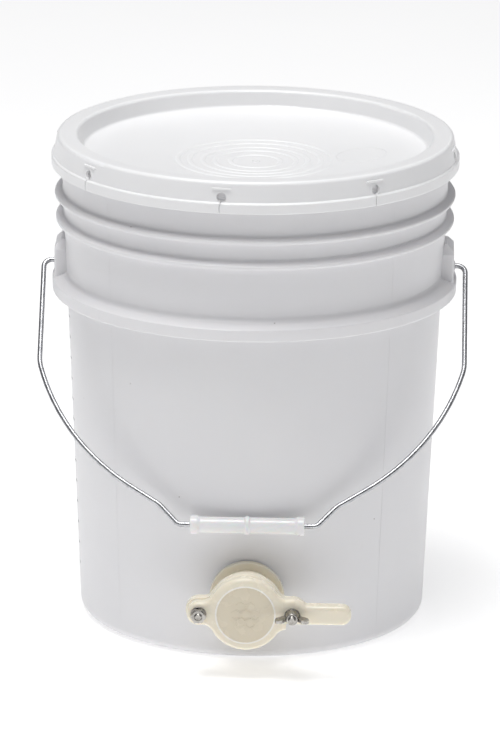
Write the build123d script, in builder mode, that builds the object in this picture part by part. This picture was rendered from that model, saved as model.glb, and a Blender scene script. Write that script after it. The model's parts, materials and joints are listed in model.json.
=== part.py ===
from build123d import *

import os
from math import atan, cos, radians, sin, sqrt, tan

# Five-gallon plastic pail with a press-on lid, a wire bail and a swing-blade honey gate.
# Millimetres, +Z up. The origin is the centre of the foot ring on the floor.
# The honey gate faces -Y and the bail's ears are on the +X and -X sides.

os.makedirs("parts", exist_ok=True)

# ---- Pail shell
foot_radius = 131.8  # outside of the wall, carried down to the floor
draft = 0.0418  # the wall's radius gained for each millimetre of height
wall = 2.3
floor_lift = 5.0  # the floor panel stands this far off the ground inside the foot ring
floor_thickness = 2.6
foot_ring_inner = 119.0
base_corner = 8.0
floor_corner = 6.0
rim_top = 370.8
rim_bead_radius = 149.1
rim_lip_radius = 147.2

# ---- Collar, ribs and ears of the pail
collar_radius = 153.7
collar_bottom = 254.4
collar_edge_top = 263.3
collar_wall_top = 267.4
collar_web = 2.3
collar_skirt = 2.3
gusset_count = 24
gusset_thickness = 1.8
gusset_margin = 1.2
rib_low = (151.0, 308.6, 311.2, 313.8)  # outer radius, underside, edge top, top at the wall
rib_high = (151.8, 327.7, 329.9, 332.3)
rib_radii = [1.0, 1.1, 1.1, 2.0]
ear_reach = 151.4
ear_half_width = 18.0
ear_top = 292.6
ear_wall = 2.6
ear_root = 8.0  # the ear's sides start this far inside the wall
ear_bevel_drop = 7.0
ear_bevel_width = 5.0
ear_edge_bevel = 5.0
ear_corner = 1.6
ear_boss = 1.0
ear_boss_radius = 4.6
embed = 0.5  # how far a raised feature starts inside the surface that carries it

# ---- Bail: one bent wire, turning in the ears
ear_z = 272.5
wire_radius = 1.95
running_clearance = 0.1
leg_x = 160.2
leg_bend = 6.0
leg_end = 82.0  # distance below the ear axis where the legs start to turn in
bail_drop = 217.3  # ear axis to grip axis
rest_angle = 41.5  # the bail's lean from straight down, against the front of the pail
shoulder_turn = 16.0
shoulder_bend = 30.0
bow_turn = 41.0
bow_bend = 173.5
bow_run = 22.0
offset_turn = 15.0
offset_bend = 22.0
stub_bend = 6.0
wire_end_x = 147.6
wire_head_radius = 3.1
wire_head_thickness = 1.6

# ---- Grip: a moulded sleeve on the bail
grip_length = 85.0
grip_radius = 6.1
grip_end_radius = 7.1
grip_end_length = 5.0
grip_end_slope = 2.0
grip_bead_half = 0.9
grip_bead_foot = 2.2

# ---- Lid
lid_top = 375.0
lid_panel_top = 362.2
lid_panel_radius = 130.6
lid_skin = 2.2
lid_dish = 10.0  # the panel sinks by this much towards its centre
dish_corner = 65.5  # radius where the dish's two tangents meet
dish_radius = 820.0
lid_underside = lid_top - lid_skin
lid_bead_radius = 154.3
lid_bead_bottom = 351.6
lid_skirt_low = (152.5, 359.9)  # radius and height where the skirt meets the bead
lid_skirt_high = (149.6, 375.0)
plug_inner = 141.6
plug_outer = 143.6
plug_depth = 6.5
channel_outer = 147.4
gasket_width = 3.3
gasket_height = 1.6
notch_count = 8
notch_phase = -7.9  # degrees from the front, towards +X
notch_z = 363.5
notch_radius = 3.5
notch_cut_radius = 145.0  # the cutters start here, inside the skirt and outside the plug
notch_cut_depth = 15.0
notch_lip_width = 0.7
notch_lip_height = 0.25
tear_width = 0.7
tear_offset = -1.1
tear_knee = -6.3
tear_bottom = -14.0
ledge_radius = 151.6
ledge_depth = 1.8
ledge_rise = 6.3
ledge_length = 14.5
ledge_height = 1.3
ring_radii = (19.0, 31.0, 40.0, 50.0, 59.0)
ring_half_width = 2.2
ring_half_height = 0.75
ring_sink = 0.2

# ---- Honey gate, measured along -Y from the pail's axis
gate_z = 51.0
gate_seat = 136.0
flange_radius = 28.2
flange_thickness = 5.0
barrel_radius = 22.5
bore_radius = 19.05
barrel_inner_end = 113.0
barrel_chamfer = 1.2
thread_clearance = 0.05
barrel_clearance = 0.4
lock_nut_seat = 124.6
lock_nut_thickness = 9.0
lock_nut_across_flats = 58.0
outer_gasket_radius = 27.6
inner_gasket_radius = 28.5
gasket_blank = 12.0  # thickness of a gasket's blank before it is cut to the wall
plate_back = 159.5
plate_front = 168.8
plate_radius = 28.2
plate_lug_radius = 9.8
bolt_offset = 34.8
blade_back = 169.0
blade_front = 178.2
blade_radius = 28.0
blade_lug_radius = 9.0
hump_radius = 12.2
handle_width = 15.0
handle_end = 78.5
blade_front_fillet = 3.2
hump_corner_radius = 3.5
hook_x = 29.5
hook_radius = 6.0
hook_corner_radius = 1.2
blade_back_fillet = 0.8
clamp_slot_width = 8.0
clamp_slot_sweep = 14.0
neck_fillet = 9.0
neck_reach = 34.0  # the corners between disc and lugs lie nearer the centre than this
ring_outer = 22.5
ring_inner = 21.5
ring_relief = 0.45
cell_pitch = 7.2
cell_radius = 3.9
cell_hollow = 3.4
cell_relief = 0.25

# ---- Stainless fasteners of the gate (M6)
bolt_radius = 3.0
bolt_hole_radius = 3.08
head_across_flats = 10.0
head_height = 4.0
bolt_point = 0.7
nut_height = 5.0
nut_turned_drop = 1.2
nut_turned_radius = 4.6
nut_full_radius = 6.4
washer_radius = 6.0
washer_bore_radius = 3.2
washer_thickness = 1.2
washer_gap = 0.1
pivot_bolt_end = 185.4
clamp_bolt_end = 189.8
wing_bore_clearance = 0.06
nut_bore_clearance = 0.02
wing_span = 25.6
wing_hub_radius = 5.5
wing_hub_height = 7.5
wing_root = 3.4
wing_height = 14.0
wing_thickness = 2.4


def wall_radius(z):
    """Outside radius of the pail's wall at height z."""
    return foot_radius + draft * z


def facing_front(distance):
    """Sketch plane that faces -Y, at this distance in front of the pail's axis."""
    return Plane(origin=(0, -distance, gate_z), x_dir=(1, 0, 0), z_dir=(0, -1, 0))


def cone_outline(inset):
    """Half-section of the solid cone that ends this far inside the wall's outer face."""
    return [
        (0, 0),
        (wall_radius(0) - inset, 0),
        (wall_radius(rim_top) - inset, rim_top),
        (0, rim_top),
    ]


def finish(builder, name):
    """Label a finished piece and write it as its own STEP file."""
    builder.part.label = name
    export_step(builder.part, f"parts/{name}.step")


# ---- Cones that follow the pail's wall, used to trim what meets it
with BuildPart() as wall_cone:
    with BuildSketch(Plane.XZ):
        Polygon(*cone_outline(wall / 2), align=None)
    revolve(axis=Axis.Z)

with BuildPart() as wall_cone_outside:
    with BuildSketch(Plane.XZ):
        Polygon(*cone_outline(0), align=None)
    revolve(axis=Axis.Z)

with BuildPart() as wall_cone_inside:
    with BuildSketch(Plane.XZ):
        Polygon(*cone_outline(wall), align=None)
    revolve(axis=Axis.Z)

# ---- One ear: a hollow box on the collar, with bevelled top corners and a boss for the wire
ear_root_x = wall_radius(ear_z) - ear_root
with BuildPart() as ear_solid:
    with BuildSketch(Plane.YZ.offset(ear_root_x)):
        Polygon(
            (-ear_half_width, collar_edge_top - 1),
            (ear_half_width, collar_edge_top - 1),
            (ear_half_width, ear_top - ear_bevel_drop),
            (ear_half_width - ear_bevel_width, ear_top),
            (ear_bevel_width - ear_half_width, ear_top),
            (-ear_half_width, ear_top - ear_bevel_drop),
            align=None,
        )
    extrude(amount=ear_reach - ear_root_x)
    outer_face = ear_solid.faces().sort_by(Axis.X)[-1]
    chamfer(outer_face.edges().sort_by(Axis.Z)[-1], length=ear_edge_bevel)
    fillet(ear_solid.edges().filter_by(Plane.YZ).group_by(Axis.X)[-1], radius=ear_corner)
    add(wall_cone.part, mode=Mode.SUBTRACT)
    with BuildSketch(Plane.YZ.offset(ear_reach - embed)):
        with Locations((0, ear_z)):
            Circle(ear_boss_radius)
    extrude(amount=ear_boss + embed, taper=35)

# ---- The hollow inside the ear, open downwards through the collar
hollow_half_width = ear_half_width - ear_wall
hollow_top = ear_top - ear_edge_bevel
hollow_bevel_z = ear_top - ear_bevel_drop - ear_wall / 2
hollow_bevel_y = ear_half_width - ear_bevel_width - ear_wall / 2
with BuildPart() as ear_hollow:
    with BuildSketch(Plane.YZ.offset(ear_root_x)):
        Polygon(
            (-hollow_half_width, collar_bottom - 1),
            (hollow_half_width, collar_bottom - 1),
            (hollow_half_width, hollow_bevel_z),
            (hollow_bevel_y, hollow_top),
            (-hollow_bevel_y, hollow_top),
            (-hollow_half_width, hollow_bevel_z),
            align=None,
        )
    extrude(amount=ear_reach - ear_wall - ear_root_x)
    add(wall_cone_outside.part, mode=Mode.SUBTRACT)

# ---- One stiffening gusset under the collar
gusset_inner = wall_radius(collar_bottom) - wall / 2
gusset_outer = collar_radius - gusset_margin
gusset_foot = collar_bottom + gusset_margin
with BuildPart() as gusset:
    with BuildSketch(Plane.XZ):
        Polygon(
            (gusset_inner, gusset_foot),
            (gusset_outer, gusset_foot),
            (gusset_outer, collar_edge_top - gusset_margin),
            (gusset_inner, collar_wall_top - gusset_margin),
            align=None,
        )
    extrude(amount=gusset_thickness / 2, both=True)

# ---- Pail: the outline runs from the floor's underside up the outside, over the rim and down the inside
rib_points = []
for outer, underside, edge_top, wall_top in (rib_low, rib_high):
    rib_points += [
        (wall_radius(underside), underside - 0.6),
        (outer, underside),
        (outer, edge_top),
        (wall_radius(wall_top), wall_top),
    ]

floor_top = floor_lift + floor_thickness
web_root_z = collar_edge_top - 1.4
pail_points = [
    (0, floor_lift),
    (foot_ring_inner - 3, floor_lift),
    (foot_ring_inner, 0),
    (foot_radius, 0),
    (wall_radius(web_root_z), web_root_z),
    (collar_radius - collar_skirt, collar_edge_top - collar_web - 0.3),
    (collar_radius - collar_skirt, collar_bottom),
    (collar_radius, collar_bottom),
    (collar_radius, collar_edge_top),
    (wall_radius(collar_wall_top), collar_wall_top),
    *rib_points,
    (wall_radius(360), 360.0),
    (rim_bead_radius, 362.4),
    (rim_bead_radius, 364.0),
    (rim_lip_radius, rim_top),
    (wall_radius(rim_top) - wall, rim_top),
    (wall_radius(floor_top) - wall, floor_top),
    (0, floor_top),
]
foot_radii = [0, 2.0, 1.5, base_corner]
collar_radii = [0.8, 0.8, 0.6, 0.8, 0.9, 4.5]
rim_radii = [1.0, 0.6, 0.6, 0.9, 0.8]
pail_radii = [*foot_radii, *collar_radii, *rib_radii, *rib_radii, *rim_radii, floor_corner, 0]

with BuildPart() as bucket_body:
    with BuildSketch(Plane.XZ):
        with BuildLine():
            FilletPolyline(*pail_points, radius=pail_radii, close=True)
        make_face()
    revolve(axis=Axis.Z)
    for turn in (0, 180):
        add(ear_solid.part.rotate(Axis.Z, turn))
        add(ear_hollow.part.rotate(Axis.Z, turn), mode=Mode.SUBTRACT)
    for index in range(gusset_count):
        add(gusset.part.rotate(Axis.Z, 360 / gusset_count * (index + 0.5)))
    # the holes for the wire through the ears' outer walls
    for hole_start in (-ear_reach - ear_wall, ear_reach - 2 * ear_wall):
        with BuildSketch(Plane.YZ.offset(hole_start)):
            with Locations((0, ear_z)):
                Circle(wire_radius + running_clearance)
        extrude(amount=3 * ear_wall, mode=Mode.SUBTRACT)
    # the hole for the gate's barrel
    with BuildSketch(facing_front(barrel_inner_end)):
        Circle(barrel_radius + barrel_clearance)
    extrude(amount=gate_seat - barrel_inner_end, mode=Mode.SUBTRACT)
finish(bucket_body, "bucket_body")

# ---- Bail wire: a chain of straight runs and tangent bends, right half mirrored to the left
bail_plane = Plane(
    origin=(0, 0, ear_z),
    x_dir=(1, 0, 0),
    z_dir=(0, -cos(radians(rest_angle)), sin(radians(rest_angle))),
)
lean_total = shoulder_turn + bow_turn
lean_stub = lean_total - offset_turn


def bend_drop(radius, start, end):
    """Drop along the bail of a bend that turns from start to end degrees off its legs."""
    return radius * abs(sin(radians(end)) - sin(radians(start)))


fixed_drop = (
    leg_end
    + bend_drop(shoulder_bend, 0, shoulder_turn)
    + bend_drop(bow_bend, shoulder_turn, lean_total)
    + bow_run * cos(radians(lean_total))
    + bend_drop(offset_bend, lean_total, lean_stub)
    + bend_drop(stub_bend, lean_stub, 90)
)
offset_run = (bail_drop - fixed_drop) / cos(radians(lean_stub))

with BuildPart() as bail_wire:
    with BuildLine(bail_plane) as bail_path:
        ear_run = Line((wire_end_x, 0), (leg_x - leg_bend, 0))
        ear_bend = JernArc(ear_run @ 1, ear_run % 1, leg_bend, -90)
        leg = PolarLine(ear_bend @ 1, leg_end - leg_bend, direction=ear_bend % 1)
        shoulder = JernArc(leg @ 1, leg % 1, shoulder_bend, -shoulder_turn)
        bow = JernArc(shoulder @ 1, shoulder % 1, bow_bend, -bow_turn)
        bow_line = PolarLine(bow @ 1, bow_run, direction=bow % 1)
        offset_arc = JernArc(bow_line @ 1, bow_line % 1, offset_bend, offset_turn)
        offset_line = PolarLine(offset_arc @ 1, offset_run, direction=offset_arc % 1)
        stub_arc = JernArc(offset_line @ 1, offset_line % 1, stub_bend, lean_stub - 90)
        Line(stub_arc @ 1, (0, -bail_drop))
    with BuildSketch(Plane(origin=ear_run @ 0, z_dir=(1, 0, 0))):
        Circle(wire_radius)
    sweep()
    # upset heads hold the wire inside the ears
    with BuildSketch(Plane.YZ.offset(wire_end_x - wire_head_thickness)):
        with Locations((0, ear_z)):
            Circle(wire_head_radius)
    extrude(amount=wire_head_thickness + embed)
    mirror(about=Plane.YZ)
finish(bail_wire, "bail_wire")

# ---- Grip
grip_origin = tuple(bail_plane.from_local_coords((0, -bail_drop)))
half_grip = grip_length / 2
grip_bore = wire_radius + running_clearance
grip_shoulder = half_grip - grip_end_length
half_grip_points = [
    (grip_radius, grip_bead_foot),
    (grip_radius, grip_shoulder - grip_end_slope),
    (grip_end_radius, grip_shoulder),
    (grip_end_radius, half_grip),
    (grip_bore, half_grip),
]
half_grip_radii = [0.8, 1.5, 1.5, 0.6, 0.2]
bead_points = [(grip_end_radius, -grip_bead_half), (grip_end_radius, grip_bead_half)]
grip_points = [
    *[(radius, -along) for radius, along in reversed(half_grip_points)],
    *bead_points,
    *half_grip_points,
]
grip_radii = [*reversed(half_grip_radii), 0.5, 0.5, *half_grip_radii]
with BuildPart() as bail_grip:
    with BuildSketch(Plane(origin=grip_origin, x_dir=(0, -1, 0), z_dir=(0, 0, -1))):
        with BuildLine():
            FilletPolyline(*grip_points, radius=grip_radii, close=True)
        make_face()
    revolve(axis=Axis(grip_origin, (1, 0, 0)))
finish(bail_grip, "bail_grip")

# ---- Lid: the outline runs outwards along the underside and back over the top
dish_floor = lid_panel_top - lid_dish
dish_start = dish_corner - dish_radius * tan(atan(lid_dish / (lid_panel_radius - dish_corner)) / 2)
lid_points = [
    (0, dish_floor - lid_skin),
    (dish_corner, dish_floor - lid_skin),
    (133.0, lid_panel_top - lid_skin),
    (136.2, lid_underside),
    (plug_inner, lid_underside),
    (plug_inner + 0.2, lid_underside - plug_depth),
    (plug_outer - 0.2, lid_underside - plug_depth),
    (plug_outer, lid_underside),
    (channel_outer, lid_underside),
    (150.5, 360.0),
    (151.9, lid_bead_bottom),
    (lid_bead_radius, lid_bead_bottom),
    (lid_bead_radius, 359.2),
    lid_skirt_low,
    lid_skirt_high,
    (134.4, lid_top - 0.4),
    (lid_panel_radius, lid_panel_top),
    (dish_corner, dish_floor),
    (0, dish_floor),
]
underside_radii = [0, dish_radius, 3.5, 3.0, 0.6, 0.5, 0.7, 0.3, 0.3, 4.0]
topside_radii = [0.6, 0.8, 1.0, 0.8, 3.2, 3.0, 2.6, dish_radius, 0]
skirt_slope = (lid_skirt_low[0] - lid_skirt_high[0]) / (lid_skirt_high[1] - lid_skirt_low[1])
skirt_tilt = atan(skirt_slope)
skirt_radius = lid_skirt_low[0] - skirt_slope * (notch_z - lid_skirt_low[1])
with BuildPart() as lid:
    with BuildSketch(Plane.XZ):
        with BuildLine():
            FilletPolyline(*lid_points, radius=[*underside_radii, *topside_radii], close=True)
        make_face()
    revolve(axis=Axis.Z)
    # raised rings round the centre of the panel
    with BuildSketch(Plane.XZ):
        for ring_radius in ring_radii:
            ring_rise = dish_radius - sqrt(dish_radius**2 - max(0, ring_radius - dish_start) ** 2)
            with Locations((ring_radius, dish_floor + ring_rise - ring_sink)):
                Ellipse(ring_half_width, ring_half_height)
    revolve(axis=Axis.Z)
    # tear notches: a round lipped hole in the skirt, a cut down through the bead, a ledge above
    for index in range(notch_count):
        azimuth = radians(notch_phase + 360 / notch_count * index)
        sideways = (cos(azimuth), sin(azimuth), 0)
        level_plane = Plane(
            origin=(notch_cut_radius * sin(azimuth), -notch_cut_radius * cos(azimuth), notch_z),
            x_dir=sideways,
            z_dir=(sin(azimuth), -cos(azimuth), 0),
        )
        skirt_plane = Plane(
            origin=(skirt_radius * sin(azimuth), -skirt_radius * cos(azimuth), notch_z),
            x_dir=sideways,
            z_dir=(sin(azimuth) * cos(skirt_tilt), -cos(azimuth) * cos(skirt_tilt), sin(skirt_tilt)),
        )
        with BuildSketch(skirt_plane.offset(-embed)):
            Circle(notch_radius + notch_lip_width)
        extrude(amount=embed + notch_lip_height, taper=20)
        with BuildSketch(level_plane):
            Circle(notch_radius)
            Polygon(
                (tear_offset - tear_width / 2, tear_bottom),
                (tear_offset + tear_width / 2, tear_bottom),
                (tear_offset + tear_width / 2, tear_knee),
                (tear_width / 2, 1 - notch_radius),
                (-tear_width / 2, 1 - notch_radius),
                (tear_offset - tear_width / 2, tear_knee),
                align=None,
            )
        extrude(amount=notch_cut_depth, mode=Mode.SUBTRACT)
        with BuildSketch(level_plane.offset(ledge_radius - ledge_depth - notch_cut_radius)):
            with Locations((0, ledge_rise)):
                SlotOverall(ledge_length, ledge_height)
        extrude(amount=ledge_depth)
finish(lid, "lid")

# ---- Lid gasket, in the channel between the lid's plug and its skirt
with BuildPart() as lid_gasket:
    with BuildSketch(Plane.XZ):
        with Locations(((plug_outer + channel_outer) / 2 - 0.05, lid_underside - gasket_height / 2)):
            RectangleRounded(gasket_width, gasket_height, 0.5)
    revolve(axis=Axis.Z)
finish(lid_gasket, "lid_gasket")

# ---- Honey gate body: threaded barrel, flange, neck and face plate with two bolt lugs
with BuildPart() as gate_body:
    with BuildSketch(facing_front(barrel_inner_end)):
        Circle(barrel_radius)
    extrude(amount=plate_back - barrel_inner_end + 1)
    chamfer(gate_body.edges().filter_by(GeomType.CIRCLE).sort_by(Axis.Y)[-1], length=barrel_chamfer)
    with BuildSketch(facing_front(gate_seat)):
        Circle(flange_radius)
    extrude(amount=flange_thickness)
    flange_front = -gate_seat - flange_thickness
    flange_edges = gate_body.edges().filter_by_position(Axis.Y, flange_front - 0.1, flange_front + 0.1)
    fillet(flange_edges.sort_by(SortBy.RADIUS)[-1], radius=1.6)
    with BuildSketch(facing_front(plate_back)) as plate_outline:
        Circle(plate_radius)
        with Locations((-bolt_offset, 0), (bolt_offset, 0)):
            Circle(plate_lug_radius)
        inner_corners = plate_outline.vertices().filter_by_position(Axis.X, -neck_reach, neck_reach)
        fillet(inner_corners, radius=neck_fillet)
    extrude(amount=plate_front - plate_back)
    plate_front_edges = gate_body.faces().sort_by(Axis.Y)[0].edges()
    fillet(plate_front_edges, radius=1.0)
    plate_back_edges = gate_body.edges().filter_by_position(Axis.Y, -plate_back - 0.01, 0.01 - plate_back)
    fillet(plate_back_edges, radius=2.0)
    with BuildSketch(facing_front(barrel_inner_end - 1)):
        Circle(bore_radius)
        with Locations((-bolt_offset, 0), (bolt_offset, 0)):
            Circle(bolt_hole_radius)
    extrude(amount=plate_front - barrel_inner_end + 2, mode=Mode.SUBTRACT)
finish(gate_body, "gate_body")

# ---- Gaskets: rubber rings squeezed to the curve of the wall on either side of it
with BuildPart() as gate_gasket:
    with BuildSketch(facing_front(gate_seat - gasket_blank)):
        Circle(outer_gasket_radius)
        Circle(barrel_radius + barrel_clearance, mode=Mode.SUBTRACT)
    extrude(amount=gasket_blank)
    add(wall_cone_outside.part, mode=Mode.SUBTRACT)
finish(gate_gasket, "gate_gasket")

with BuildPart() as inner_gasket:
    with BuildSketch(facing_front(lock_nut_seat)):
        Circle(inner_gasket_radius)
        Circle(barrel_radius + barrel_clearance, mode=Mode.SUBTRACT)
    extrude(amount=gasket_blank)
    add(wall_cone_inside.part, mode=Mode.INTERSECT)
finish(inner_gasket, "inner_gasket")

# ---- Lock nut on the barrel, inside the pail
with BuildPart() as gate_lock_nut:
    with BuildSketch(facing_front(lock_nut_seat - lock_nut_thickness)):
        RegularPolygon(lock_nut_across_flats / 2, 6, major_radius=False)
    extrude(amount=lock_nut_thickness)
    fillet(gate_lock_nut.edges().filter_by(Axis.Y), radius=3.0)
    chamfer(gate_lock_nut.faces().sort_by(Axis.Y)[-1].edges(), length=barrel_chamfer)
    with BuildSketch(facing_front(lock_nut_seat - lock_nut_thickness)):
        Circle(barrel_radius + thread_clearance)
    extrude(amount=lock_nut_thickness, mode=Mode.SUBTRACT)
finish(gate_lock_nut, "gate_lock_nut")

# ---- Blade: a disc with a pivot lug, a hooked clamp lug and a handle, in one flat piece
pivot_place = (-bolt_offset, 0)
clamp_place = (bolt_offset, 0)
swing_radius = 2 * bolt_offset
hump_corner_y = handle_width / 2
hump_corner_x = bolt_offset + sqrt(hump_radius**2 - hump_corner_y**2)
hook_corner_x = hook_x + sqrt(hook_radius**2 - (hump_corner_y - hook_radius) ** 2)
with BuildPart() as gate_blade:
    with BuildSketch(facing_front(blade_back)) as blade_outline:
        with Locations(clamp_place):
            Circle(hump_radius)
        # past the slot the hump ends level with the handle's lower edge, and the hook holds its near side
        with Locations((bolt_offset, -hump_corner_y - hump_radius / 2)):
            Rectangle(2 * hump_radius, hump_radius, mode=Mode.SUBTRACT)
        with Locations((hook_x, -hook_radius)):
            Circle(hook_radius)
        Circle(blade_radius)
        with Locations(pivot_place):
            Circle(blade_lug_radius)
        with Locations(((bolt_offset + handle_end) / 2, 0)):
            Rectangle(handle_end - bolt_offset, handle_width)
        disc_corners = blade_outline.vertices().filter_by_position(Axis.X, -neck_reach, neck_reach)
        fillet(disc_corners, radius=neck_fillet)
        for corner_x, low_y, high_y, corner_radius in (
            (hump_corner_x, 0, hump_radius, hump_corner_radius),
            (hook_corner_x, -hump_radius, 0, hook_corner_radius),
        ):
            near_corner = blade_outline.vertices().filter_by_position(Axis.X, corner_x - 0.1, corner_x + 0.1)
            fillet(near_corner.filter_by_position(Axis.Y, low_y, high_y), radius=corner_radius)
        end_corners = blade_outline.vertices().group_by(Axis.X)[-1]
        fillet(end_corners, radius=hump_corner_y - 0.4)
    extrude(amount=blade_front - blade_back)
    fillet(gate_blade.faces().sort_by(Axis.Y)[0].edges(), radius=blade_front_fillet)
    fillet(gate_blade.faces().sort_by(Axis.Y)[-1].edges(), radius=blade_back_fillet)
    with BuildSketch(facing_front(blade_back - 1)):
        slot_centre = Edge.make_circle(swing_radius, Plane(origin=pivot_place), -clamp_slot_sweep, 0)
        SlotArc(slot_centre, clamp_slot_width)
        with Locations(pivot_place):
            Circle(bolt_hole_radius)
    extrude(amount=blade_front - blade_back + 2, mode=Mode.SUBTRACT)
    # a raised ring on the disc, and a plain honeycomb in low relief inside it
    with BuildSketch(facing_front(blade_front - embed)):
        Circle(ring_outer)
        Circle(ring_inner, mode=Mode.SUBTRACT)
    extrude(amount=embed + ring_relief)
    with BuildSketch(facing_front(blade_front - embed)):
        for cell_size, cell_mode in ((cell_radius, Mode.ADD), (cell_hollow, Mode.SUBTRACT)):
            with PolarLocations(cell_pitch, 6):
                RegularPolygon(cell_size, 6, rotation=30, mode=cell_mode)
            RegularPolygon(cell_size, 6, rotation=30, mode=cell_mode)
    extrude(amount=embed + cell_relief)
finish(gate_blade, "gate_blade")

# ---- Stainless fasteners
washer_back = blade_front + washer_gap
nut_seat = washer_back + washer_thickness

for name, x, end in (
    ("pivot_bolt", -bolt_offset, pivot_bolt_end),
    ("clamp_bolt", bolt_offset, clamp_bolt_end),
):
    # a hex bolt through the face plate's lug, with its head at the back
    with BuildPart() as bolt:
        with BuildSketch(facing_front(plate_back - head_height)):
            with Locations((x, 0)):
                RegularPolygon(head_across_flats / 2, 6, major_radius=False)
        extrude(amount=head_height)
        with BuildSketch(facing_front(plate_back - embed)):
            with Locations((x, 0)):
                Circle(bolt_radius)
        extrude(amount=end - plate_back + embed)
        chamfer(bolt.faces().sort_by(Axis.Y)[0].edges(), length=bolt_point)
    finish(bolt, name)

for name, x in (("pivot_washer", -bolt_offset), ("clamp_washer", bolt_offset)):
    # a plain washer between the blade and the nut
    with BuildPart() as washer:
        with BuildSketch(facing_front(washer_back)):
            with Locations((x, 0)):
                Circle(washer_radius)
                Circle(washer_bore_radius, mode=Mode.SUBTRACT)
        extrude(amount=washer_thickness)
        outer_edges = washer.edges().filter_by(GeomType.CIRCLE).sort_by(SortBy.RADIUS)[-2:]
        fillet(outer_edges, radius=0.25)
    finish(washer, name)

with BuildPart() as pivot_nut:
    with BuildSketch(facing_front(nut_seat)):
        with Locations(pivot_place):
            RegularPolygon(head_across_flats / 2, 6, major_radius=False)
    extrude(amount=nut_height)
    # the nut's corners are turned off on its front face
    with BuildSketch(Plane(origin=(-bolt_offset, 0, gate_z), x_dir=(1, 0, 0), z_dir=(0, 0, 1))):
        Polygon(
            (0, -nut_seat),
            (nut_full_radius, -nut_seat),
            (nut_full_radius, nut_turned_drop - nut_seat - nut_height),
            (nut_turned_radius, -nut_seat - nut_height),
            (0, -nut_seat - nut_height),
            align=None,
        )
    revolve(axis=Axis((-bolt_offset, 0, gate_z), (0, 1, 0)), mode=Mode.INTERSECT)
    with BuildSketch(facing_front(nut_seat)):
        with Locations(pivot_place):
            Circle(bolt_radius + nut_bore_clearance)
    extrude(amount=nut_height, mode=Mode.SUBTRACT)
finish(pivot_nut, "pivot_nut")

# ---- Wing nut: a round hub and two wings that spread outwards and forwards
wing_seat = nut_seat + washer_gap
with BuildPart() as wing_nut:
    with BuildSketch(facing_front(wing_seat)):
        with Locations(clamp_place):
            Circle(wing_hub_radius)
    extrude(amount=wing_hub_height, taper=8)
    fillet(wing_nut.faces().sort_by(Axis.Y)[0].edges(), radius=0.8)
    half_span = wing_span / 2
    with BuildSketch(Plane(origin=(bolt_offset, -wing_seat, gate_z), x_dir=(1, 0, 0), z_dir=(0, 0, 1))):
        for side in (1, -1):
            with BuildLine():
                FilletPolyline(
                    (side * wing_root, -0.9),
                    (side * (wing_root + 2), -0.9),
                    (side * half_span * 0.92, -6.4),
                    (side * half_span, 2.6 - wing_height),
                    (side * (half_span - 1.6), -wing_height),
                    (side * (half_span - 5.4), 0.8 - wing_height),
                    (side * wing_root, -6.2),
                    radius=[0.1, 1.2, 3.5, 1.6, 1.4, 2.2, 0.1],
                    close=True,
                )
            make_face()
    extrude(amount=wing_thickness / 2, both=True)
    with BuildSketch(facing_front(wing_seat - 1)):
        with Locations(clamp_place):
            Circle(bolt_radius + wing_bore_clearance)
    extrude(amount=wing_hub_height + 2, mode=Mode.SUBTRACT)
finish(wing_nut, "wing_nut")
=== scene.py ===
import json
from math import ceil, cos, radians, sin, tau

import bmesh
import bpy
from mathutils import Matrix, Vector
from mathutils.bvhtree import BVHTree


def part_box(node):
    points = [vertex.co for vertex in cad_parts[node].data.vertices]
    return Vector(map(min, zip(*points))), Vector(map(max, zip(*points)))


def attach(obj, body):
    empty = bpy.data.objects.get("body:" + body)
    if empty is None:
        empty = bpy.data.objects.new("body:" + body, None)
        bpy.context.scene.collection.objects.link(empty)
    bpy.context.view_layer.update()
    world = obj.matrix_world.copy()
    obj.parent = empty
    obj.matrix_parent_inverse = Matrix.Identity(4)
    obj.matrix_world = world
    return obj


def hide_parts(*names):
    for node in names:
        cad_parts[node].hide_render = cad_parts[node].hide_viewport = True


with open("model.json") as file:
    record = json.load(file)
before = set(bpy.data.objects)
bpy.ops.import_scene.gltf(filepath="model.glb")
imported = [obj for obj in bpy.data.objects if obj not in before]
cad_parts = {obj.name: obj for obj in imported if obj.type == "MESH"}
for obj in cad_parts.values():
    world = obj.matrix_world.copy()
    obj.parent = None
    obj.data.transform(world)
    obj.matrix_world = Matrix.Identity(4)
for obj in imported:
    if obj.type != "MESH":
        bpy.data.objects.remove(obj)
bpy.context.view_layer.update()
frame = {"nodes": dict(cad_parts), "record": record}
nodes = frame["nodes"]

# Looks of a five-gallon honey pail. Metres, +Z up, the honey gate faces -Y.
MM = 0.001


# ---- Camera: a long lens, slightly above the lid, a little to the right of the gate's axis

def add_camera():
    distance = 4.209
    aim = Vector((-0.00274, 0, 0.1833))
    pitch = radians(16.76)
    roll = radians(0.5)
    yaw = radians(1.5)
    forward = Vector((0, cos(pitch), -sin(pitch)))
    level_right = Vector((1, 0, 0))
    level_up = Vector((0, sin(pitch), cos(pitch)))
    right = level_right * cos(roll) + level_up * sin(roll)
    up = level_up * cos(roll) - level_right * sin(roll)
    turn = Matrix.Rotation(yaw, 3, "Z")
    basis = Matrix((right, up, -forward)).transposed()
    data = bpy.data.cameras.new("camera")
    data.sensor_width = 36
    data.lens = 264
    data.clip_end = 60
    camera = bpy.data.objects.new("camera", data)
    camera.matrix_world = Matrix.Translation(turn @ (aim - forward * distance)) @ (turn @ basis).to_4x4()
    bpy.context.scene.collection.objects.link(camera)
    bpy.context.scene.camera = camera


# ---- Node helpers for the materials

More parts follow.
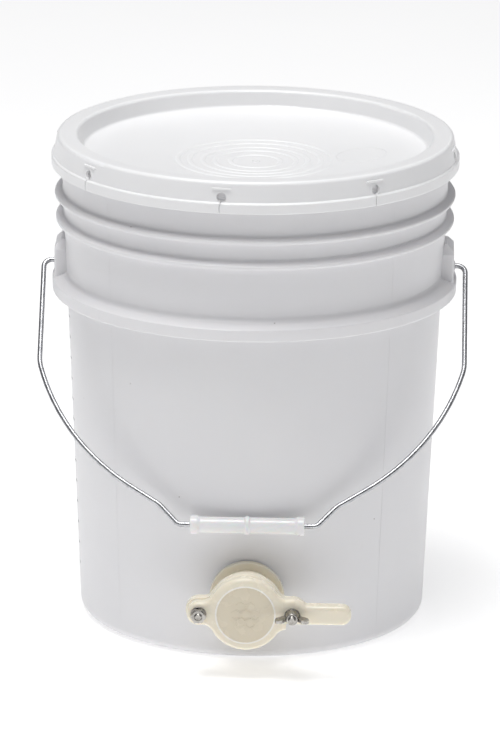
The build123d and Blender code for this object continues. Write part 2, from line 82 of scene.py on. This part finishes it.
class Look:
    """A Principled material whose colour, roughness and bump come from procedural textures."""

    def __init__(self, name, **sockets):
        self.material = bpy.data.materials.new(name)
        self.material.use_nodes = True
        self.tree = self.material.node_tree
        self.shader = self.tree.nodes["Principled BSDF"]
        self.position = self.tree.nodes.new("ShaderNodeTexCoord").outputs["Object"]
        for socket, value in sockets.items():
            self.shader.inputs[socket.replace("_", " ")].default_value = value

    def node(self, kind, **settings):
        made = self.tree.nodes.new(kind)
        for key, value in settings.items():
            setattr(made, key, value)
        return made

    def link(self, start, end):
        self.tree.links.new(start, end)

    def stretched(self, scale):
        mapping = self.node("ShaderNodeMapping")
        mapping.inputs["Scale"].default_value = scale
        self.link(self.position, mapping.inputs["Vector"])
        return mapping.outputs["Vector"]

    def noise(self, scale, detail=3.0, where=None):
        """Smooth noise with this many features for each metre."""
        texture = self.node("ShaderNodeTexNoise")
        texture.inputs["Scale"].default_value = scale
        texture.inputs["Detail"].default_value = detail
        self.link(where or self.position, texture.inputs["Vector"])
        return texture.outputs["Fac"]

    def ranged(self, value, low, high, start=0.3, end=0.7):
        """The value, stretched so that start to end becomes low to high."""
        mapped = self.node("ShaderNodeMapRange")
        for socket, number in zip(("From Min", "From Max", "To Min", "To Max"), (start, end, low, high)):
            mapped.inputs[socket].default_value = number
        self.link(value, mapped.inputs["Value"])
        return mapped.outputs["Result"]

    def blend(self, factor, first, second):
        """A colour between two, each a colour or another node's output."""
        mix = self.node("ShaderNodeMix", data_type="RGBA")
        self.link(factor, mix.inputs["Factor"])
        for socket, colour in ((mix.inputs[6], first), (mix.inputs[7], second)):
            if isinstance(colour, tuple):
                socket.default_value = (*colour, 1)
            else:
                self.link(colour, socket)
        return mix.outputs[2]

    def specks(self, scale, size, share):
        """1 inside small round specks, one in some of the texture's cells, and 0 elsewhere."""
        cells = self.node("ShaderNodeTexVoronoi")
        cells.inputs["Scale"].default_value = scale
        self.link(self.position, cells.inputs["Vector"])
        inside = self.ranged(cells.outputs["Distance"], 1, 0, size * 0.5, size)
        split = self.node("ShaderNodeSeparateColor")
        self.link(cells.outputs["Color"], split.inputs["Color"])
        chosen = self.node("ShaderNodeMath", operation="LESS_THAN")
        chosen.inputs[1].default_value = share
        self.link(split.outputs["Red"], chosen.inputs[0])
        both = self.node("ShaderNodeMath", operation="MULTIPLY")
        self.link(inside, both.inputs[0])
        self.link(chosen.outputs["Value"], both.inputs[1])
        return both.outputs["Value"]

    def colour(self, value):
        self.link(value, self.shader.inputs["Base Color"])

    def roughness(self, value):
        self.link(value, self.shader.inputs["Roughness"])

    def bump(self, *layers):
        """Bump from layers of (height, depth in metres), each on top of the last."""
        normal = None
        for height, depth in layers:
            bump = self.node("ShaderNodeBump")
            bump.inputs["Distance"].default_value = depth
            self.link(height, bump.inputs["Height"])
            if normal:
                self.link(normal, bump.inputs["Normal"])
            normal = bump.outputs["Normal"]
        self.link(normal, self.shader.inputs["Normal"])


# ---- Materials

def pail_look():
    """Natural polyethylene: milky, satin, with faint flow marks and a few dust specks."""
    look = Look("pail_plastic", IOR=1.54, Subsurface_Weight=0.3, Subsurface_Scale=0.004)
    look.shader.inputs["Subsurface Radius"].default_value = (1.0, 0.95, 0.9)
    cloudy = look.blend(look.ranged(look.noise(9), 0, 1), (0.8, 0.795, 0.81), (0.83, 0.825, 0.835))
    dusty = look.blend(look.specks(55, 0.035, 0.22), cloudy, (0.33, 0.3, 0.28))
    look.colour(dusty)
    look.roughness(look.ranged(look.noise(26, 5), 0.3, 0.42))
    flow = look.noise(1, 4, look.stretched((70, 70, 3)))
    look.bump((flow, 0.05 * MM), (look.noise(1400, 2), 0.012 * MM))
    return look.material


def lid_look():
    """White polyethylene, a little glossier than the pail, with a faint moulded grain."""
    look = Look("lid_plastic", IOR=1.54, Subsurface_Weight=0.25, Subsurface_Scale=0.003)
    look.shader.inputs["Subsurface Radius"].default_value = (1.0, 0.97, 0.93)
    cloudy = look.blend(look.ranged(look.noise(14), 0, 1), (0.878, 0.878, 0.883), (0.892, 0.892, 0.897))
    look.colour(look.blend(look.specks(48, 0.03, 0.2), cloudy, (0.4, 0.38, 0.36)))
    look.roughness(look.ranged(look.noise(10, 2), 0.27, 0.33))
    look.bump((look.noise(260, 2), 0.004 * MM))
    return look.material


def start_nylon(name):
    """A glossy, slightly translucent cream nylon, with the soft clouding that its colour starts from."""
    look = Look(name, IOR=1.53, Subsurface_Weight=0.35, Subsurface_Scale=0.003)
    look.shader.inputs["Subsurface Radius"].default_value = (1.0, 0.8, 0.55)
    look.bump((look.noise(90, 3), 0.03 * MM), (look.noise(2200, 2), 0.005 * MM))
    clouds = look.blend(look.ranged(look.noise(20, 2), 0, 1), (0.84, 0.78, 0.64), (0.87, 0.81, 0.67))
    return look, clouds


def gate_look():
    """Cream nylon."""
    look, clouds = start_nylon("gate_nylon")
    look.colour(clouds)
    look.roughness(look.ranged(look.noise(120, 5), 0.17, 0.3))
    return look.material


def blade_look():
    """The gate's nylon on the blade, with painted light in its colour: painted shade inside the ring on its
    disc, and a painted highlight on the ring.
    """
    disc_z = 51 * MM
    inside_radius = 21.4 * MM
    inside_blur = 0.3 * MM
    ring_radius = 22.0 * MM
    ring_half_width = 0.45 * MM
    ring_fade_end = 0.7 * MM
    look, clouds = start_nylon("blade_nylon")
    across = look.node("ShaderNodeMapping")
    across.inputs["Scale"].default_value = (1, 0, 1)
    across.inputs["Location"].default_value = (0, 0, -disc_z)
    look.link(look.position, across.inputs["Vector"])
    distance = look.node("ShaderNodeVectorMath", operation="LENGTH")
    look.link(across.outputs["Vector"], distance.inputs[0])
    # Painted shade: the disc inside the ring takes a darker colour.
    inside = look.ranged(distance.outputs["Value"], 1, 0, inside_radius - inside_blur, inside_radius)
    disc_with_painted_shade = look.blend(inside, clouds, (0.73, 0.66, 0.52))
    from_ring = look.node("ShaderNodeMath", operation="SUBTRACT")
    from_ring.inputs[1].default_value = ring_radius
    look.link(distance.outputs["Value"], from_ring.inputs[0])
    ring_distance = look.node("ShaderNodeMath", operation="ABSOLUTE")
    look.link(from_ring.outputs["Value"], ring_distance.inputs[0])
    # Painted highlight: a paler colour along the ring.
    painted_highlight_mask = look.ranged(ring_distance.outputs["Value"], 1, 0, ring_half_width, ring_fade_end)
    look.colour(look.blend(painted_highlight_mask, disc_with_painted_shade, (0.93, 0.9, 0.84)))
    look.roughness(look.ranged(look.noise(120, 5), 0.2, 0.32))
    return look.material


def wire_look():
    """Bright galvanised wire with drawing marks and duller patches in its zinc."""
    look = Look("galvanized_wire", Metallic=1.0)
    look.colour(look.blend(look.ranged(look.noise(160, 4), 0, 1), (0.36, 0.365, 0.38), (0.56, 0.565, 0.58)))
    look.roughness(look.ranged(look.noise(420, 6), 0.14, 0.34))
    look.bump((look.noise(700, 4), 0.02 * MM))
    return look.material


def grip_look():
    """Glossy white polyethylene sleeve."""
    look = Look("grip_plastic", IOR=1.54, Subsurface_Weight=0.2, Subsurface_Scale=0.002)
    look.colour(look.blend(look.ranged(look.noise(60, 3), 0, 1), (0.86, 0.86, 0.87), (0.9, 0.9, 0.9)))
    look.roughness(look.ranged(look.noise(90, 4), 0.16, 0.28))
    look.bump((look.noise(150, 3), 0.05 * MM), (look.noise(1800, 2), 0.008 * MM))
    return look.material


def steel_look():
    """Stainless fasteners: fine machining grain, a few darker stains."""
    look = Look("stainless_steel", Metallic=1.0)
    look.colour(look.blend(look.ranged(look.noise(300, 5), 0, 1), (0.3, 0.285, 0.265), (0.5, 0.485, 0.455)))
    look.roughness(look.ranged(look.noise(900, 5), 0.16, 0.36))
    look.bump((look.noise(1, 3, look.stretched((500, 4000, 500))), 0.012 * MM))
    return look.material


def rubber_look():
    """Soft white gasket rubber, matt, lightly mottled."""
    look = Look("gasket_rubber", IOR=1.5)
    look.colour(look.blend(look.ranged(look.noise(80, 4), 0, 1), (0.62, 0.61, 0.57), (0.7, 0.69, 0.65)))
    look.roughness(look.ranged(look.noise(200, 4), 0.6, 0.75))
    look.bump((look.noise(900, 4), 0.03 * MM))
    return look.material


def ink_look():
    """Grey-black printed ink, thin and slightly patchy."""
    look = Look("scale_ink", IOR=1.48)
    look.colour(look.blend(look.ranged(look.noise(900, 4), 0, 1), (0.05, 0.05, 0.06), (0.14, 0.14, 0.15)))
    look.roughness(look.ranged(look.noise(500, 4), 0.4, 0.6))
    look.bump((look.noise(1600, 3), 0.01 * MM))
    return look.material


LOOKS = {
    "pail_plastic": pail_look(),
    "lid_plastic": lid_look(),
    "gate_nylon": gate_look(),
    "galvanized_wire": wire_look(),
    "grip_plastic": grip_look(),
    "stainless_steel": steel_look(),
    "gasket_rubber": rubber_look(),
}
INK = ink_look()


def dress_cad_nodes():
    """Every carried-over CAD node takes the look of its material slot."""
    for part in frame["record"]["subparts"]:
        node = nodes[part["node"]]
        node.data.materials.clear()
        node.data.materials.append(LOOKS[part["material_slot"]])
    nodes["gate_blade"].data.materials.clear()
    nodes["gate_blade"].data.materials.append(blade_look())


# ---- Mesh helpers

def new_piece(name, vertices, faces, material, smooth=True):
    mesh = bpy.data.meshes.new(name)
    mesh.from_pydata([tuple(v) for v in vertices], [], faces)
    mesh.validate()
    shell = bmesh.new()
    shell.from_mesh(mesh)
    bmesh.ops.recalc_face_normals(shell, faces=shell.faces)
    shell.to_mesh(mesh)
    shell.free()
    mesh.polygons.foreach_set("use_smooth", [smooth] * len(mesh.polygons))
    mesh.materials.append(material)
    piece = bpy.data.objects.new(name, mesh)
    bpy.context.scene.collection.objects.link(piece)
    return piece


def surface_tree(node_name):
    """A tree of a CAD node's faces, for casting rays at it."""
    mesh = nodes[node_name].data
    return BVHTree.FromPolygons([v.co for v in mesh.vertices], [p.vertices[:] for p in mesh.polygons])


def wall_probe():
    """A function for the pail's outside radius at a height and an azimuth from the front towards +X."""
    tree = surface_tree("bucket_body")
    start_radius = 0.3

    def radius_at(z, azimuth):
        outwards = Vector((sin(azimuth), -cos(azimuth), 0))
        hit = tree.ray_cast(outwards * start_radius + Vector((0, 0, z)), -outwards)[0]
        return Vector((hit.x, hit.y, 0)).length

    return radius_at


# ---- Stage

def add_stage():
    """A pale floor under soft overhead light."""
    half = 20
    floor_z = -0.2 * MM
    floor = new_piece(
        "studio_floor",
        [(x * half, y * half, floor_z) for x, y in ((-1, -1), (1, -1), (1, 1), (-1, 1))],
        [(0, 1, 2, 3)],
        floor_look(),
        smooth=False,
    )


def floor_look():
    """Plain pale paper that glows a little, so that it stays light round the pail."""
    look = Look("studio_floor", Roughness=0.9)
    look.shader.inputs["Specular IOR Level"].default_value = 0.1
    look.shader.inputs["Emission Color"].default_value = (1, 1, 1, 1)
    look.shader.inputs["Emission Strength"].default_value = 0.4
    look.colour(look.blend(look.ranged(look.noise(2), 0, 1), (0.9, 0.9, 0.9), (0.92, 0.92, 0.92)))
    return look.material


def add_sky():
    """Light from all round, bright overhead and dimmer towards the horizon."""
    world = bpy.data.worlds.new("studio")
    bpy.context.scene.world = world
    world.use_nodes = True
    tree = world.node_tree
    direction = tree.nodes.new("ShaderNodeTexCoord").outputs["Generated"]
    split = tree.nodes.new("ShaderNodeSeparateXYZ")
    tree.links.new(direction, split.inputs["Vector"])
    ramp = tree.nodes.new("ShaderNodeValToRGB")
    stops = ramp.color_ramp.elements
    stops[0].position = 0.0
    stops[0].color = (0.08, 0.08, 0.09, 1)
    stops[1].position = 1.0
    stops[1].color = (0.85, 0.85, 0.85, 1)
    middle = stops.new(0.45)
    middle.color = (0.12, 0.12, 0.13, 1)
    tree.links.new(split.outputs["Z"], ramp.inputs["Fac"])
    background = tree.nodes["Background"]
    background.inputs["Strength"].default_value = 1.0
    tree.links.new(ramp.outputs["Color"], background.inputs["Color"])


def add_softbox(name, place, size, watts, aim=(0, 0, 0.2)):
    data = bpy.data.lights.new(name, "AREA")
    data.shape = "RECTANGLE"
    data.size, data.size_y = size
    data.energy = watts
    light = bpy.data.objects.new(name, data)
    light.location = place
    light.rotation_euler = (Vector(aim) - Vector(place)).to_track_quat("-Z", "Y").to_euler()
    bpy.context.scene.collection.objects.link(light)


def add_lights():
    add_softbox("overhead", (-0.25, -0.35, 2.3), (1.2, 0.9), 29)
    add_softbox("left_front", (-2.2, -2.4, 1.5), (1.1, 1.6), 2)
    add_softbox("right_front", (2.6, -1.9, 1.2), (0.8, 1.4), 1)


# ---- Printed scale on the pail's left side: plain ticks, one for each litre, longer every fifth

def add_scale(radius_at):
    litre_step = 16.4 * MM
    first_z = 21 * MM
    last_litre = 14
    edge_azimuth = -80
    long_tick, short_tick = 10, 5  # degrees of azimuth
    half_thickness = 0.5 * MM
    vertices, faces = [], []

    def patch(z_low, z_high, start, end):
        """A thin curved patch of ink on the wall, between two azimuths in degrees."""
        steps = max(2, round(abs(end - start)))
        base = len(vertices)
        for step in range(steps + 1):
            azimuth = radians(start + (end - start) * step / steps)
            for z in (z_low, z_high):
                for lift in (-0.05 * MM, 0.06 * MM):
                    radius = radius_at(z, azimuth) + lift
                    vertices.append((radius * sin(azimuth), -radius * cos(azimuth), z))
        for step in range(steps):
            a = base + 4 * step
            b = a + 4
            faces.extend([(a + 1, b + 1, b + 3, a + 3), (a, a + 2, b + 2, b)])
            faces.extend([(a, b, b + 1, a + 1), (a + 2, a + 3, b + 3, b + 2)])
        last = base + 4 * steps
        faces.extend([(base, base + 1, base + 3, base + 2), (last, last + 2, last + 3, last + 1)])

    for litre in range(1, last_litre + 1):
        z = first_z + litre_step * litre
        length = long_tick if litre % 5 == 0 else short_tick
        patch(z - half_thickness, z + half_thickness, edge_azimuth, edge_azimuth - length)
    scale = new_piece("printed_scale", vertices, faces, INK, smooth=False)
    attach(scale, "bucket")


# ---- Threads: each bolt is one closed skin of rings along its axis, a hex head behind and a point in front

def add_threaded_bolt(node_name):
    low, high = (Vector(corner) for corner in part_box(node_name))
    centre = (low + high) / 2
    flat_radius = (high.z - low.z) / 2
    head_height = 4 * MM
    pitch = 1.0 * MM
    crest_radius = 2.97 * MM
    thread_depth = 0.5 * MM
    corner_bevel = 0.5 * MM
    point_length = 1.0 * MM
    groove_half_width = 0.4  # in turns of the thread
    sharp_angle = radians(32)
    around = 72
    step = pitch / 10
    length = high.y - low.y

    def hex_radius(angle):
        return flat_radius / cos(angle % (tau / 6) - tau / 12)

    def thread_radius(angle, along):
        phase = (along / pitch - angle / tau) % 1
        groove = max(0, 1 - abs(phase - 0.5) / groove_half_width)
        return min(crest_radius - thread_depth * groove, crest_radius - point_length + length - along)

    rings = [
        (0, lambda angle: min(hex_radius(angle), flat_radius)),
        (corner_bevel, hex_radius),
        (head_height, hex_radius),
    ]
    for index in range(ceil((length - head_height) / step) + 1):
        along = min(head_height + index * step, length)
        rings.append((along, lambda angle, along=along: thread_radius(angle, along)))
    vertices = [(centre.x, high.y, centre.z)]
    for along, radius in rings:
        for index in range(around):
            angle = tau * index / around
            reach = radius(angle)
            vertices.append((centre.x + reach * cos(angle), high.y - along, centre.z + reach * sin(angle)))
    vertices.append((centre.x, low.y, centre.z))
    tip = len(vertices) - 1
    faces = []
    for index in range(around):
        after = (index + 1) % around
        faces.append((0, 1 + index, 1 + after))
        for ring in range(len(rings) - 1):
            start = 1 + ring * around
            faces.append((start + index, start + around + index, start + around + after, start + after))
        start = tip - around
        faces.append((tip, start + after, start + index))
    bolt = new_piece(node_name + "_threaded", vertices, faces, LOOKS["stainless_steel"])
    bolt.data.set_sharp_from_angle(angle=sharp_angle)
    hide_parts(node_name)
    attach(bolt, "bucket")


# ---- Mould parting lines: four fine ridges down the pail, over its ribs and collar

def add_parting_lines(radius_at):
    z_low, z_high, z_step = 14 * MM, 344 * MM, 0.5 * MM
    half_width, height, root = 0.18 * MM, 0.12 * MM, 0.1 * MM
    jump = 1.2 * MM
    vertices, faces = [], []

    def add_run(profile, azimuth):
        outwards = Vector((sin(azimuth), -cos(azimuth), 0))
        sideways = Vector((cos(azimuth), sin(azimuth), 0))
        base = len(vertices)
        for radius, z in profile:
            foot = outwards * (radius - root) + Vector((0, 0, z))
            crest = outwards * (radius + height) + Vector((0, 0, z))
            vertices.extend([foot - sideways * half_width, crest, foot + sideways * half_width])
        for index in range(len(profile) - 1):
            a = base + 3 * index
            for first, second in ((0, 1), (1, 2), (2, 0)):
                faces.append((a + first, a + second, a + 3 + second, a + 3 + first))
        last = base + 3 * (len(profile) - 1)
        faces.extend([(base + 2, base + 1, base), (last, last + 1, last + 2)])

    for degrees in (-133, -47, 47, 133):
        azimuth = radians(degrees)
        run = []
        for index in range(round((z_high - z_low) / z_step) + 1):
            z = z_low + index * z_step
            radius = radius_at(z, azimuth)
            if run and abs(radius - run[-1][0]) > jump:
                if len(run) > 1:
                    add_run(run, azimuth)
                run = []
            run.append((radius, z))
        add_run(run, azimuth)
    lines = new_piece("parting_lines", vertices, faces, LOOKS["pail_plastic"])
    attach(lines, "bucket")


# ---- Plain moulding marks on the lid's dished panel: a faint circle on the right, and a scar in the middle

def add_lid_marks():
    tree = surface_tree("lid")
    above_lid = 1.0
    around = 96
    root = 0.1 * MM
    vertices, faces = [], []

    def ridge(centre_x, centre_y, radius, half_width, height):
        """A low rounded ridge in a ring about a centre, closed under the panel's surface."""
        shoulder_width, shoulder_height = 0.5 * half_width, 0.8 * height
        profile = [(-half_width, -root), (-shoulder_width, shoulder_height), (0, height)]
        profile += [(shoulder_width, shoulder_height), (half_width, -root)]
        base = len(vertices)
        for index in range(around):
            angle = tau * index / around
            for across, rise in profile:
                x = centre_x + (radius + across) * cos(angle)
                y = centre_y + (radius + across) * sin(angle)
                surface = tree.ray_cast(Vector((x, y, above_lid)), Vector((0, 0, -1)))[0].z
                vertices.append((x, y, surface + rise))
        count = len(profile)
        for index in range(around):
            near = base + count * index
            far = base + count * ((index + 1) % around)
            for side in range(count):
                other = (side + 1) % count
                faces.append((near + side, far + side, far + other, near + other))

    ridge(80 * MM, 10 * MM, radius=19 * MM, half_width=0.5 * MM, height=0.2 * MM)
    ridge(0, 0, radius=2.6 * MM, half_width=0.6 * MM, height=0.35 * MM)
    marks = new_piece("lid_mould_marks", vertices, faces, LOOKS["lid_plastic"])
    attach(marks, "lid")


dress_cad_nodes()
add_camera()
add_stage()
add_sky()
add_lights()
radius_at = wall_probe()
add_scale(radius_at)
add_parting_lines(radius_at)
add_lid_marks()
for bolt_node in ("pivot_bolt", "clamp_bolt"):
    add_threaded_bolt(bolt_node)
bpy.context.scene.view_settings.view_transform = "Standard"
